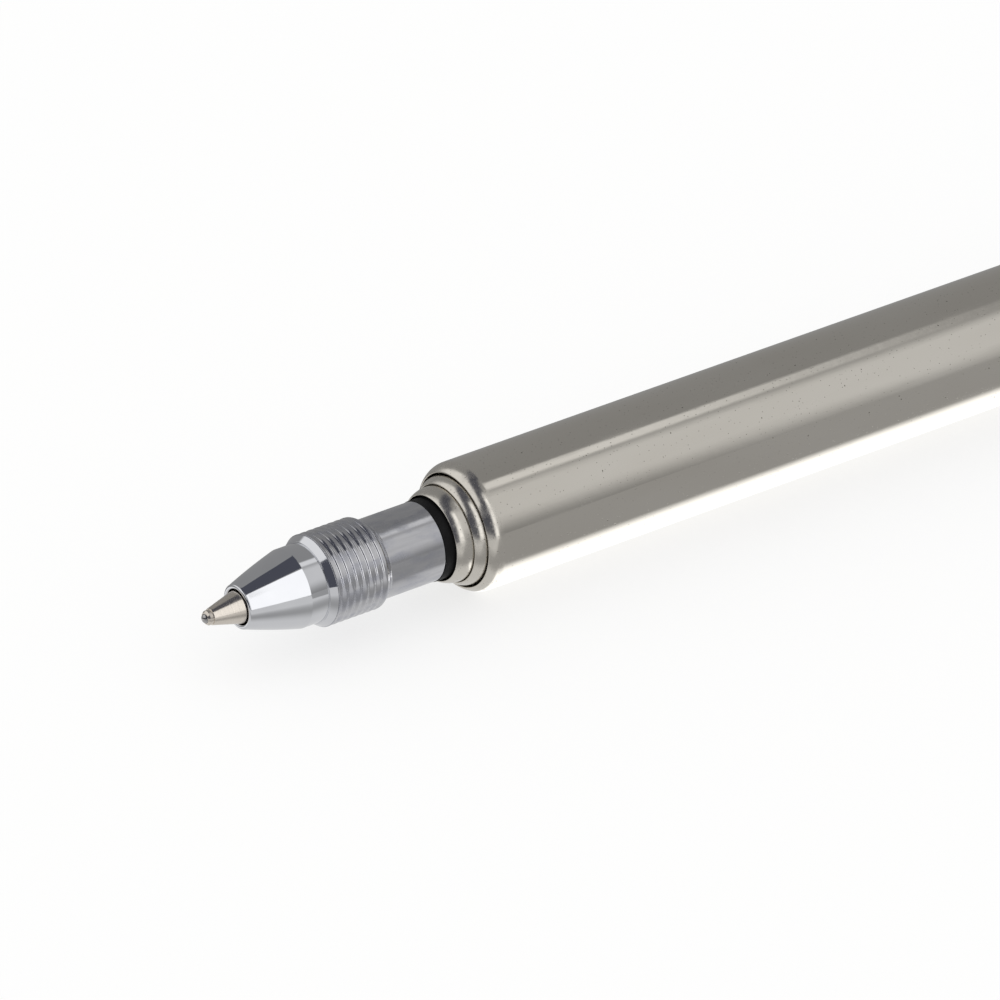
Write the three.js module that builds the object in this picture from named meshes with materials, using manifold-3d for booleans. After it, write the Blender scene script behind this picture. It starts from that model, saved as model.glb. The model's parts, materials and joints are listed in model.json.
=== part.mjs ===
import * as THREE from 'three';
import Module from 'manifold-3d';
import { mergeVertices } from 'three/addons/utils/BufferGeometryUtils.js';

// Telescopic pointer pen, pushed in.
//
// The pen lies along X with its point towards -X, and its flat tail face is centred on the origin.
// It rests on the barrel and on one edge of the pocket clip, as such a pen lies on a table.
// All sizes are in millimetres. A station is a distance along the pen from the tail face, so it
// grows towards the point. Radii are measured from the pen's axis.
//
// Three tubes slide out of the barrel, one inside the other. Each has a bead near its tail, a split
// friction spring behind the bead and a guide bush at its end. The bead stops against the rolled
// front lip of the tube outside it. The innermost tube carries the black collar, the grip sleeve,
// the nose and the refill.

const wasm = await Module();
wasm.setup();

// Facets round a turned piece, and steps along a round stretch of an outline
const largeSides = 40;
const smallSides = 24;
const ballSides = 16;
const ballRings = 10;
const springSteps = 30;
const roundSteps = 5;

// Clearances
const seatGap = 0.02;
const slidingGap = 0.05;
const barrelThroatGap = 0.12;
const outerThroatGap = 0.05;
const middleThroatGap = 0.12;
const restGap = 0.3;

// Telescope
const barrelLength = 108;
const barrelWall = 0.4;
const tubeWall = 0.25;
const innerTubeRadius = 2.82;
const innerTubeWall = 0.27;
const outerTubeStep = 0.72;
const middleTubeStep = 1.15;
const innerTubeSetback = 0.57;

// Rolled front lips
const barrelLipLength = 1.05;
const tubeLipLength = 1;
const lipEdge = 0.12;
const throatLength = 0.7;

// Tail end of each sliding tube
const bushLength = 5;
const bushChamfer = 0.08;
const springLength = 3;
const springThickness = 0.16;
const springSlotDegrees = 34;
const beadLength = 0.8;
const beadSlope = 0.22;

// Tail of the barrel
const capLength = 5;
const capRounding = 0.7;
const capEdge = 0.12;
const studRadius = 1.25;
const studLength = 7.5;
const plugLength = 8;
const bufferThickness = 1.5;
const bufferHoleRadius = 1;

// Pocket clip
const clipSheet = 0.6;
const clipRingInset = 0.25;
const clipGap = 2.1;
const clipBendRadius = 0.8;
const clipWidth = 4;
const clipTipWidth = 2.8;
const clipStraight = 14;
const clipReach = 40;
const clipDipLength = 7;
const clipTipGap = 0.35;
const clipFlickLength = 2.6;
const clipFlickRise = 0.9;

// Black collar between the innermost tube and the grip sleeve
const collarLength = 1.3;
const collarTailSpigot = 4;
const collarFrontSpigot = 3;

// Grip sleeve
const sleeveRadius = 2.78;
const sleeveWall = 0.5;
const sleeveLength = 4.4;
const sleeveFlare = 0.4;
const gripRadius = 3.2;
const gripLand = 0.3;
const ridgeCount = 7;
const ridgePitch = 0.545;
const ridgeDepth = 0.13;
const ridgeCrest = 0.2;

// Nose
const noseSpigotLength = 5.5;
const noseBevelLength = 0.5;
const noseBevelRadius = 3.18;
const noseShoulderRadius = 2.85;
const noseBandRadius = 2.75;
const noseBandLength = 1.35;
const noseConeLength = 4.03;
const noseConeSwell = 0.1;
const noseConeSteps = 7;
const noseMouthRadius = 1.56;
const noseLipLength = 0.13;
const noseBoreRadius = 1.25;

// Refill and its ball
const refillLength = 67;
const refillTubeRadius = 1.175;
const refillTubeWall = 0.2;
const pointStandOut = 2.77;
const pointSpigotLength = 4;
const pointBodyLength = 3;
const pointBodyRadius = 1.13;
const pointConeLength = 2.15;
const pointConeTipRadius = 0.57;
const pointLandLength = 0.25;
const pointLandRadius = 0.51;
const pointLipWall = 0.05;
const inkChannelRadius = 0.16;
const ballRadius = 0.35;
const ballStandOut = 0.23;
const ballGap = 0.035;
const ballLipGap = 0.016;

// Radii that follow, from the innermost tube outwards
const springSpace = springThickness + 2 * slidingGap;
const innerBore = innerTubeRadius - innerTubeWall;
const middleBore = innerTubeRadius + springSpace;
const middleTubeRadius = middleBore + tubeWall;
const outerBore = middleTubeRadius + springSpace;
const outerTubeRadius = outerBore + tubeWall;
const barrelBore = outerTubeRadius + springSpace;
const barrelRadius = barrelBore + barrelWall;
const sleeveBore = sleeveRadius - sleeveWall;

// Stations that follow, from the tail face forwards
const barrelTail = capLength + clipSheet;
const barrelFront = barrelTail + barrelLength;
const plugFront = barrelTail + plugLength;
const bufferFront = plugFront + bufferThickness;
const tubeTail = bufferFront + restGap;
const springTail = tubeTail + bushLength + slidingGap;
const beadTail = springTail + springLength + slidingGap;
const outerTubeFront = barrelFront + outerTubeStep;
const middleTubeFront = outerTubeFront + middleTubeStep;
const innerTubeFront = middleTubeFront - innerTubeSetback;
const sleeveTail = innerTubeFront + collarLength;
const gripTail = sleeveTail + sleeveLength + sleeveFlare;
const sleeveFront = gripTail + ridgeCount * ridgePitch + gripLand;
const noseBevelFront = sleeveFront + noseBevelLength;
const noseBandFront = noseBevelFront + noseBandLength;
const noseConeFront = noseBandFront + noseConeLength;
const noseMouth = noseConeFront + noseLipLength;
const refillTip = noseMouth + pointStandOut;
const refillTail = refillTip - refillLength;
const pointConeTail = noseMouth;
const pointBodyTail = pointConeTail - pointBodyLength;
const ballCentre = refillTip - ballRadius;

// A point of an outline: its station first, then its radius
const at = (station, radius) => new THREE.Vector2(radius, station);

// A round stretch of an outline, a part of an ellipse about a centre. Zero degrees points forwards
// along the pen and 90 degrees points outwards.
function roundStretch(centre, lengthwise, outward, fromDegrees, toDegrees) {
  const points = [];
  for (let i = 0; i <= roundSteps; i += 1) {
    const angle = THREE.MathUtils.degToRad(fromDegrees + (toDegrees - fromDegrees) * i / roundSteps);
    points.push(at(centre.y + lengthwise * Math.cos(angle), centre.x + outward * Math.sin(angle)));
  }
  return points;
}

// A solid turned piece, from an outline that starts on the axis at its tail and ends on it in front
function turnedSolid(outline, sides = largeSides) {
  return new THREE.LatheGeometry(outline, sides, Math.PI / sides).rotateZ(Math.PI / 2);
}

// A turned piece with a bore. Its outline starts at the bore's tail, runs forwards along the outside
// and comes back along the bore to where it started.
function turnedTube(outline, sides = largeSides) {
  return turnedSolid([...outline, outline[0].clone()], sides);
}

function plainRing(tail, front, bore, radius) {
  return turnedTube([at(tail, bore), at(tail, radius), at(front, radius), at(front, bore)]);
}

function toManifold(geometry) {
  const bare = geometry.clone();
  bare.deleteAttribute('normal');
  bare.deleteAttribute('uv');
  const merged = mergeVertices(bare);
  return new wasm.Manifold(new wasm.Mesh({
    numProp: 3,
    vertProperties: new Float32Array(merged.attributes.position.array),
    triVerts: new Uint32Array(merged.index.array),
  }));
}

function toGeometry(manifold) {
  const { vertProperties, triVerts } = manifold.getMesh();
  const geometry = new THREE.BufferGeometry();
  geometry.setAttribute('position', new THREE.BufferAttribute(vertProperties, 3));
  geometry.setIndex(new THREE.BufferAttribute(triVerts, 1));
  geometry.computeVertexNormals();
  return geometry;
}

// The front end of a tube, rolled in to a throat that guides the next tube. The outside bends inwards
// on one arc, and the shoulder behind the throat is what stops the next tube's bead.
function rolledLip(front, radius, bore, throat, lipLength) {
  const shoulder = front - lipEdge - throatLength;
  const drop = radius - throat - lipEdge;
  const bend = (lipLength ** 2 + drop ** 2) / (2 * drop);
  const turn = 2 * THREE.MathUtils.radToDeg(Math.atan2(drop, lipLength));
  return [
    ...roundStretch(at(front - lipLength, radius - bend), bend, bend, 90, 90 - turn),
    at(front - lipEdge, throat),
    at(shoulder, throat),
    at(shoulder - (bore - throat), bore),
  ];
}

// The tail end of a sliding tube, with the bead rolled outwards to slide in the bore outside it
function beadedTail(bore, radius, outerBore) {
  const crest = outerBore - slidingGap;
  return [
    at(tubeTail, bore),
    at(tubeTail, radius),
    at(beadTail, radius),
    at(beadTail + beadSlope, crest),
    at(beadTail + beadLength - beadSlope, crest),
    at(beadTail + beadLength, radius),
  ];
}

function barrel() {
  const throat = outerTubeRadius + barrelThroatGap;
  return turnedTube([
    at(barrelTail, barrelBore),
    at(barrelTail, barrelRadius),
    ...rolledLip(barrelFront, barrelRadius, barrelBore, throat, barrelLipLength),
  ]);
}

function outerTube() {
  const throat = middleTubeRadius + outerThroatGap;
  return turnedTube([
    ...beadedTail(outerBore, outerTubeRadius, barrelBore),
    ...rolledLip(outerTubeFront, outerTubeRadius, outerBore, throat, tubeLipLength),
  ]);
}

function middleTube() {
  const throat = innerTubeRadius + middleThroatGap;
  return turnedTube([
    ...beadedTail(middleBore, middleTubeRadius, outerBore),
    ...rolledLip(middleTubeFront, middleTubeRadius, middleBore, throat, tubeLipLength),
  ]);
}

// The innermost tube has a plain front end, which the collar closes
function innerTube() {
  return turnedTube([
    ...beadedTail(innerBore, innerTubeRadius, middleBore),
    at(innerTubeFront, innerTubeRadius),
    at(innerTubeFront, innerBore),
  ]);
}

function guideBush(tubeRadius, outerBore) {
  const bore = tubeRadius + seatGap;
  const radius = outerBore - slidingGap;
  return turnedTube([
    at(tubeTail, bore),
    at(tubeTail, radius - bushChamfer),
    at(tubeTail + bushChamfer, radius),
    at(tubeTail + bushLength, radius),
    at(tubeTail + bushLength, bore),
  ]);
}

// A ring of spring sheet with a slot along its length. It rubs in the bore outside it.
function frictionSpring(outerBore) {
  const radius = outerBore - slidingGap;
  const halfSlot = THREE.MathUtils.degToRad(springSlotDegrees / 2);
  const section = new THREE.Shape();
  section.absarc(0, 0, radius, halfSlot, 2 * Math.PI - halfSlot, false);
  section.absarc(0, 0, radius - springThickness, 2 * Math.PI - halfSlot, halfSlot, true);
  const ring = new THREE.ExtrudeGeometry(section, {
    depth: springLength,
    curveSegments: springSteps,
    bevelEnabled: false,
  });
  return ring.rotateY(-Math.PI / 2).translate(-springTail, 0, 0);
}

function tailCap() {
  return turnedSolid([
    at(0, 0),
    ...roundStretch(at(capRounding, barrelRadius - capRounding), capRounding, capRounding, 180, 90),
    at(capLength - capEdge, barrelRadius),
    at(capLength, barrelRadius - capEdge),
    at(capLength, studRadius),
    at(capLength + studLength, studRadius),
    at(capLength + studLength, 0),
  ]);
}

function endPlug() {
  return plainRing(barrelTail, plugFront, studRadius + seatGap, barrelBore - seatGap);
}

function bufferPad() {
  return plainRing(plugFront, bufferFront, bufferHoleRadius, barrelBore - seatGap);
}

// The outline of a bent sheet, from the line along the middle of its thickness
function sheetShape(middle, thickness) {
  const upper = [];
  const lower = [];
  middle.forEach((point, i) => {
    const before = middle[Math.max(i - 1, 0)];
    const after = middle[Math.min(i + 1, middle.length - 1)];
    const arriving = i > 0 ? point.clone().sub(before) : after.clone().sub(point);
    const leaving = i < middle.length - 1 ? after.clone().sub(point) : arriving.clone();
    const along = arriving.normalize().add(leaving.normalize()).normalize();
    const reach = thickness / 2 / along.dot(leaving);
    const across = new THREE.Vector2(-along.y, along.x).multiplyScalar(reach);
    upper.push(point.clone().add(across));
    lower.push(point.clone().sub(across));
  });
  return new THREE.Shape([...lower, ...upper.reverse()]);
}

// The middle of the clip's sheet, seen from the side: a neck that rises from the ring, a bend, a
// straight arm, a dip to the barrel and a flick upwards at the tip
function clipMiddle() {
  const neck = capLength + clipSheet / 2;
  const arm = barrelRadius + clipGap + clipSheet / 2;
  const dip = barrelRadius + clipTipGap + clipSheet / 2;
  const bend = clipBendRadius + clipSheet / 2;
  const tip = capLength + clipReach;
  const touch = tip - clipFlickLength;
  const side = new THREE.Path();
  side.moveTo(neck, studRadius + clipSheet);
  side.lineTo(neck, arm - bend);
  side.absarc(neck + bend, arm - bend, bend, Math.PI, Math.PI / 2, true);
  side.lineTo(touch - clipDipLength, arm);
  side.bezierCurveTo(touch - clipDipLength / 2, arm, touch - clipDipLength / 2, dip, touch, dip);
  side.quadraticCurveTo(tip - clipFlickLength / 2, dip, tip, dip + clipFlickRise);
  return side.getPoints(roundSteps).filter((point, i, all) => i === 0 || !point.equals(all[i - 1]));
}

// The clip's outline seen from above: full width over the first stretch, then a taper to a round tip
function clipPlan() {
  const tip = capLength + clipReach + clipSheet;
  const tipRadius = clipTipWidth / 2;
  const plan = new THREE.Shape();
  plan.moveTo(0, -clipWidth / 2);
  plan.lineTo(capLength + clipStraight, -clipWidth / 2);
  plan.lineTo(tip - tipRadius, -tipRadius);
  plan.absarc(tip - tipRadius, 0, tipRadius, -Math.PI / 2, Math.PI / 2, false);
  plan.lineTo(capLength + clipStraight, clipWidth / 2);
  plan.lineTo(0, clipWidth / 2);
  return plan;
}

// The clip is one sheet with a ring clamped under the tail cap. It is made standing straight up and
// then rolled to the side, until the arm's lower edge is level with the bottom of the barrel.
function pocketClip() {
  const height = barrelRadius + clipGap + clipSheet;
  const bottom = barrelRadius * Math.cos(Math.PI / largeSides);
  const roll = Math.asin(bottom / Math.hypot(height, clipWidth / 2)) - Math.atan2(clipWidth / 2, height);
  const strip = new THREE.ExtrudeGeometry(sheetShape(clipMiddle(), clipSheet), {
    depth: clipWidth,
    bevelEnabled: false,
  });
  const plan = new THREE.ExtrudeGeometry(clipPlan(), {
    depth: height,
    curveSegments: roundSteps,
    bevelEnabled: false,
  });
  strip.translate(0, 0, -clipWidth / 2).rotateY(Math.PI);
  plan.rotateX(-Math.PI / 2).rotateY(Math.PI);
  const ring = plainRing(capLength, barrelTail, studRadius + seatGap, barrelRadius - clipRingInset);
  const clip = toManifold(strip).intersect(toManifold(plan)).add(toManifold(ring));
  return toGeometry(clip).rotateX(Math.PI + roll);
}

// The collar's tail spigot is pressed into the innermost tube and its front spigot into the sleeve.
// Between them it is flush with the tube, so that it can follow it into the next tube's throat.
function joinCollar() {
  const bore = refillTubeRadius + seatGap;
  return turnedTube([
    at(innerTubeFront - collarTailSpigot, bore),
    at(innerTubeFront - collarTailSpigot, innerBore - seatGap),
    at(innerTubeFront, innerBore - seatGap),
    at(innerTubeFront, innerTubeRadius),
    at(sleeveTail, innerTubeRadius),
    at(sleeveTail, sleeveBore - seatGap),
    at(sleeveTail + collarFrontSpigot, sleeveBore - seatGap),
    at(sleeveTail + collarFrontSpigot, bore),
  ]);
}

// The ridges have flat crests and pointed grooves. A last crest runs out to the sleeve's front edge.
function gripRidges() {
  const slope = (ridgePitch - ridgeCrest) / 2;
  const points = [];
  for (let i = 0; i < ridgeCount; i += 1) {
    const tail = gripTail + i * ridgePitch;
    points.push(at(tail, gripRadius - ridgeDepth));
    points.push(at(tail + slope, gripRadius));
    points.push(at(tail + slope + ridgeCrest, gripRadius));
  }
  const last = gripTail + ridgeCount * ridgePitch;
  points.push(at(last, gripRadius - ridgeDepth));
  points.push(at(last + slope, gripRadius));
  return points;
}

function gripSleeve() {
  return turnedTube([
    at(sleeveTail, sleeveBore),
    at(sleeveTail, sleeveRadius),
    at(sleeveTail + sleeveLength, sleeveRadius),
    ...gripRidges(),
    at(sleeveFront, gripRadius),
    at(sleeveFront, sleeveBore),
  ]);
}

// The nose screws into the sleeve. It has a bevel, a short band, a slightly swelling cone and a
// rounded mouth with the refill's point standing out of it.
function noseCone() {
  const spigotTail = sleeveFront - noseSpigotLength;
  const spigotRadius = sleeveBore - seatGap;
  const lipHalf = (noseMouthRadius - noseBoreRadius) / 2;
  const cone = new THREE.QuadraticBezierCurve(
    at(noseBandFront, noseBandRadius),
    at(noseBandFront + noseConeLength / 2, (noseBandRadius + noseMouthRadius) / 2 + noseConeSwell),
    at(noseConeFront, noseMouthRadius),
  );
  return turnedTube([
    at(spigotTail, noseBoreRadius),
    at(spigotTail, spigotRadius),
    at(sleeveFront, spigotRadius),
    at(sleeveFront, noseBevelRadius),
    at(noseBevelFront, noseShoulderRadius),
    at(noseBevelFront, noseBandRadius),
    ...cone.getPoints(noseConeSteps),
    ...roundStretch(at(noseConeFront, noseBoreRadius + lipHalf), noseLipLength, lipHalf, 90, -90).slice(1),
  ]);
}

function refillTube() {
  const bore = refillTubeRadius - refillTubeWall;
  return turnedTube([
    at(refillTail, bore),
    at(refillTail, refillTubeRadius),
    at(pointBodyTail, refillTubeRadius),
    at(pointBodyTail, bore),
  ], smallSides);
}

// The refill's metal point: a spigot in the refill's tube, a body in the nose, the cone that shows,
// and a thin lip closed in past the ball's widest part to hold it in its socket
function refillPoint() {
  const spigotRadius = refillTubeRadius - refillTubeWall - seatGap;
  const coneFront = pointConeTail + pointConeLength;
  const lip = refillTip - ballStandOut;
  const lipBore = Math.sqrt(ballRadius ** 2 - (lip - ballCentre) ** 2) + ballLipGap;
  const socket = ballRadius + ballGap;
  const socketEnd = 180 - THREE.MathUtils.radToDeg(Math.asin(inkChannelRadius / socket));
  return turnedTube([
    at(pointBodyTail - pointSpigotLength, inkChannelRadius),
    at(pointBodyTail - pointSpigotLength, spigotRadius),
    at(pointBodyTail, spigotRadius),
    at(pointBodyTail, pointBodyRadius),
    at(pointConeTail, pointBodyRadius),
    at(coneFront, pointConeTipRadius),
    at(coneFront, pointLandRadius),
    at(coneFront + pointLandLength, pointLandRadius),
    at(lip, lipBore + pointLipWall),
    at(lip, lipBore),
    ...roundStretch(at(ballCentre, 0), socket, socket, 90, socketEnd),
  ], smallSides);
}

// Materials
const metal = (color, roughness) => new THREE.MeshStandardMaterial({ color, roughness, metalness: 1 });
const soft = (color, roughness) => new THREE.MeshStandardMaterial({ color, roughness, metalness: 0 });

const nickelPlate = () => metal(0xbdb7ad, 0.22);
const polishedChrome = () => metal(0xcfd2d8, 0.08);
const satinAluminium = () => metal(0xaeb0b6, 0.3);
const brass = () => metal(0xb5964f, 0.35);
const nickelSilver = () => metal(0xc9bfa8, 0.2);
const phosphorBronze = () => metal(0xb07a4a, 0.35);
const springSteel = () => metal(0xb9bbbf, 0.2);
const carbide = () => metal(0x8a8a8c, 0.15);
const blackAcetal = () => soft(0x17181a, 0.5);
const blackRubber = () => soft(0x141414, 0.85);

// Every separate piece of the pen, from the tail to the point
const pieces = [
  ['tail_cap', tailCap(), nickelPlate()],
  ['pocket_clip', pocketClip(), springSteel()],
  ['end_plug', endPlug(), brass()],
  ['buffer_pad', bufferPad(), blackRubber()],
  ['barrel', barrel(), nickelPlate()],
  ['outer_guide_bush', guideBush(outerTubeRadius, barrelBore), brass()],
  ['outer_friction_spring', frictionSpring(barrelBore), phosphorBronze()],
  ['outer_tube', outerTube(), nickelPlate()],
  ['middle_guide_bush', guideBush(middleTubeRadius, outerBore), brass()],
  ['middle_friction_spring', frictionSpring(outerBore), phosphorBronze()],
  ['middle_tube', middleTube(), nickelPlate()],
  ['inner_guide_bush', guideBush(innerTubeRadius, middleBore), brass()],
  ['inner_friction_spring', frictionSpring(middleBore), phosphorBronze()],
  ['inner_tube', innerTube(), nickelPlate()],
  ['join_collar', joinCollar(), blackAcetal()],
  ['grip_sleeve', gripSleeve(), satinAluminium()],
  ['nose_cone', noseCone(), polishedChrome()],
  ['refill_tube', refillTube(), brass()],
  ['refill_point', refillPoint(), nickelSilver()],
];

const pen = new THREE.Group();
for (const [name, geometry, material] of pieces) {
  const mesh = new THREE.Mesh(geometry, material);
  mesh.name = name;
  pen.add(mesh);
}

const writingBall = new THREE.Mesh(new THREE.SphereGeometry(ballRadius, ballSides, ballRings), carbide());
writingBall.name = 'writing_ball';
writingBall.position.x = -ballCentre;
pen.add(writingBall);

export default pen;
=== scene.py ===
"""Telescopic pointer pen, pushed in: its looks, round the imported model.

Every piece is made again with rounded edges in place of its faceted solid, and gets its own finish.
The pen lies along X with its point towards -X. A station is a distance along the pen from the tail
face, so it grows towards the point, and a radius is measured from the pen's axis. Outlines are in
millimetres, and everything in Blender is in metres.
"""

import json
import math

import bmesh
import bpy
from mathutils import Matrix, Vector


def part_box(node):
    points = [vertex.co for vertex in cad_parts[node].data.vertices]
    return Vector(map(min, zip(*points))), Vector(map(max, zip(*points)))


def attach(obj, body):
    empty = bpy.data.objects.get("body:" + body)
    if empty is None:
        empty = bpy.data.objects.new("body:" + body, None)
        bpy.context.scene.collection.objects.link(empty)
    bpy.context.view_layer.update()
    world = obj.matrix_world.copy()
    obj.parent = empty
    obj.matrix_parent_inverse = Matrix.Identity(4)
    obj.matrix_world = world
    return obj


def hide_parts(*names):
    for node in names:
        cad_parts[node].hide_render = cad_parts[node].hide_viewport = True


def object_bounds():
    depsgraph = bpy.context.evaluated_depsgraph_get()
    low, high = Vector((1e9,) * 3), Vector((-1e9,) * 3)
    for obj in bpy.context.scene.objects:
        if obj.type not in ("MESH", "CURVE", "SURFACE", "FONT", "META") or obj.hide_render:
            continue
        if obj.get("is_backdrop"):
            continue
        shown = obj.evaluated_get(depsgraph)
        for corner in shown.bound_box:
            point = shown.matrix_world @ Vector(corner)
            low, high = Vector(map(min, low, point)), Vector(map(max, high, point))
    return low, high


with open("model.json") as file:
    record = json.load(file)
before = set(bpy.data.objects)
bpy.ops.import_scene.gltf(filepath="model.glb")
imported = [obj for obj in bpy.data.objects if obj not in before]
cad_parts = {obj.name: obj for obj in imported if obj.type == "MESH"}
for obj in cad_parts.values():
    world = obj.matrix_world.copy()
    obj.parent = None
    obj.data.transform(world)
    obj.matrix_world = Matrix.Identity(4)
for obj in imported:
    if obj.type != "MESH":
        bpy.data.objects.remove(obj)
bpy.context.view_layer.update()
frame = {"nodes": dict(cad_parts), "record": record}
record = frame["record"]

MM = 0.001

# Meshes. The steps and the sharp angle are in degrees, and the flat hold is in millimetres.
TURNED_SIDES = 160
SMALL_SIDES = 96
ARC_STEP = 7.5
LIP_STEP = 4
ROUNDING_STEP = 18
SHARP_ANGLE = 35
FLAT_HOLD = 0.004

# Clearances, as in the solids
SEAT_GAP = 0.02
SLIDING_GAP = 0.05
BARREL_THROAT_GAP = 0.12
OUTER_THROAT_GAP = 0.05
MIDDLE_THROAT_GAP = 0.12

# Sheet and tube
BARREL_TAIL_LENGTH = 1
BARREL_WALL = 0.4
TUBE_WALL = 0.25
INNER_TUBE_WALL = 0.27
EDGE = 0.06

# Rolled front lips
BARREL_LIP_LENGTH = 1.05
TUBE_LIP_LENGTH = 1.0
TUBE_FRONT_LENGTH = 2 * TUBE_LIP_LENGTH
LIP_EDGE = 0.12
LIP_ROUNDING = 0.06
THROAT_LENGTH = 0.7

# Beads and guide bushes at the tubes' tails
BEAD_LENGTH = 0.8
BEAD_SLOPE = 0.22
BUSH_CHAMFER = 0.08
SPRING_THICKNESS = 0.16
SPRING_SLOT_DEGREES = 34

# Tail
CAP_LENGTH = 5
CAP_ROUNDING = 0.7
CAP_EDGE = 0.12
STUD_RADIUS = 1.25
BUFFER_HOLE_RADIUS = 1

# Pocket clip
CLIP_SHEET = 0.6
CLIP_GAP = 2.1
CLIP_BEND_RADIUS = 0.8
CLIP_WIDTH = 4
CLIP_TIP_WIDTH = 2.8
CLIP_STRAIGHT = 14
CLIP_REACH = 40
CLIP_DIP_LENGTH = 7
CLIP_TIP_GAP = 0.35
CLIP_FLICK_LENGTH = 2.6
CLIP_FLICK_RISE = 0.9
CLIP_EDGE = 0.16
CLIP_EDGE_SHARE = 0.9
CLIP_RING_RELIEF = 0.01
CLIP_RING_INSET = 0.25
CLIP_ARM_STEPS = 12
CLIP_CURVE_STEPS = 18
CLIP_EDGE_STEPS = 4

# Grip sleeve
SLEEVE_RADIUS = 2.78
SLEEVE_WALL = 0.5
SLEEVE_LENGTH = 4.4
SLEEVE_ROUNDING = 0.25
GRIP_LAND = 0.3
RIDGE_COUNT = 7
RIDGE_PITCH = 0.545
RIDGE_DEPTH = 0.1
RIDGE_CREST = 0.2
RIDGE_ROUNDING = 0.28
GROOVE_ROUNDING = 0.2

# Nose
NOSE_BEVEL_LENGTH = 0.5
NOSE_BEVEL_RADIUS = 3.18
NOSE_SHOULDER_RADIUS = 2.85
NOSE_BAND_RADIUS = 2.75
NOSE_BAND_LENGTH = 1.35
NOSE_CONE_LENGTH = 4.03
NOSE_CONE_SWELL = 0.1
NOSE_CONE_STEPS = 28
NOSE_MOUTH_RADIUS = 1.56
NOSE_LIP_LENGTH = 0.13
NOSE_BORE_RADIUS = 1.25
NOSE_EDGE = 0.03
NOSE_KINK_ROUNDING = 0.15

# Refill and its ball
REFILL_TUBE_WALL = 0.2
POINT_BODY_LENGTH = 3
POINT_BODY_RADIUS = 1.13
POINT_CONE_LENGTH = 2.15
POINT_CONE_TIP_RADIUS = 0.57
POINT_LAND_LENGTH = 0.25
POINT_LAND_RADIUS = 0.51
POINT_LIP_WALL = 0.05
POINT_EDGE = 0.03
INK_CHANNEL_RADIUS = 0.16
BALL_STAND_OUT = 0.23
BALL_GAP = 0.035
BALL_LIP_GAP = 0.016

# Camera: it looks at the centre of the barrel's front rim from the photograph's angle. The rim's
# centre is a little left of and below the middle of the picture. Angles are in degrees, the lens
# and the sensor in millimetres, and the rest in metres.
CAMERA_AZIMUTH = -36.15
CAMERA_ELEVATION = 29.18
CAMERA_DISTANCE = 0.900
CAMERA_LENS = 489.2
CAMERA_SENSOR = 36
CAMERA_OFFSET_RIGHT = 0.00311
CAMERA_OFFSET_UP = 0.0020
CAMERA_NEAR = 0.01
CAMERA_FAR = 20


class Span:
    """Where a turned node's tail and front are, and its radius, in millimetres."""

    def __init__(self, node):
        low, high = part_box(node)
        self.tail = -high.x / MM
        self.front = -low.x / MM
        points = frame["nodes"][node].data.vertices
        self.radius = max(math.hypot(point.co.y, point.co.z) for point in points) / MM


SPANS = {node: Span(node) for node in frame["nodes"]}


def put_in_scene(name, data):
    thing = bpy.data.objects.new(name, data)
    bpy.context.scene.collection.objects.link(thing)
    return thing


def make_camera():
    azimuth = math.radians(CAMERA_AZIMUTH)
    elevation = math.radians(CAMERA_ELEVATION)
    back = Vector((
        math.sin(azimuth) * math.cos(elevation),
        -math.cos(azimuth) * math.cos(elevation),
        math.sin(elevation),
    ))
    right = Vector((0, 0, 1)).cross(back).normalized()
    up = back.cross(right)
    rim = Vector((-SPANS["barrel"].front * MM, 0, 0))
    data = bpy.data.cameras.new("camera")
    data.sensor_width = CAMERA_SENSOR
    data.lens = CAMERA_LENS
    data.clip_start = CAMERA_NEAR
    data.clip_end = CAMERA_FAR
    camera = put_in_scene("camera", data)
    place = rim + back * CAMERA_DISTANCE + right * CAMERA_OFFSET_RIGHT + up * CAMERA_OFFSET_UP
    turn = Matrix((right, up, back)).transposed().to_4x4()
    camera.matrix_world = Matrix.Translation(place) @ turn
    bpy.context.scene.camera = camera


def arc(centre, lengthwise, outward, from_degrees, to_degrees, step=ARC_STEP):
    """Points of a part of an ellipse. Zero degrees points forwards, and 90 degrees outwards."""
    steps = max(2, round(abs(to_degrees - from_degrees) / step))
    points = []
    for i in range(steps + 1):
        angle = math.radians(from_degrees + (to_degrees - from_degrees) * i / steps)
        points.append((
            centre[0] + lengthwise * math.cos(angle),
            centre[1] + outward * math.sin(angle),
        ))
    return points


def rounded(corners):
    """Outline points from (station, radius, rounding) corners, with an arc at each rounded one. The
    last corner leads to the first, so a stretch of an outline starts and ends with sharp corners. A
    point close beside each arc keeps the straight stretch next to it flat when it is shaded."""
    points = []
    for i, (station, radius, rounding) in enumerate(corners):
        corner = Vector((station, radius))
        if rounding == 0:
            points.append((station, radius))
            continue
        before = (Vector(corners[i - 1][:2]) - corner).normalized()
        after = (Vector(corners[(i + 1) % len(corners)][:2]) - corner).normalized()
        half = before.angle(after) / 2
        centre = corner + (before + after).normalized() * rounding / math.sin(half)
        start = corner + before * rounding / math.tan(half) - centre
        end = corner + after * rounding / math.tan(half) - centre
        sweep = math.pi - 2 * half
        steps = max(2, round(math.degrees(sweep) / ROUNDING_STEP))
        points.append(tuple(centre + start + before * FLAT_HOLD))
        for step in range(steps + 1):
            turn = sweep * step / steps
            spoke = (start * math.sin(sweep - turn) + end * math.sin(turn)) / math.sin(sweep)
            points.append(tuple(centre + spoke))
        points.append(tuple(centre + end + after * FLAT_HOLD))
    return points


def shade(mesh):
    """Smooth shading, with sharp edges where two faces meet at more than the sharp angle."""
    bmesh.ops.recalc_face_normals(mesh, faces=mesh.faces)
    for face in mesh.faces:
        face.smooth = True
    for edge in mesh.edges:
        edge.smooth = edge.calc_face_angle(0) < math.radians(SHARP_ANGLE)


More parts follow.
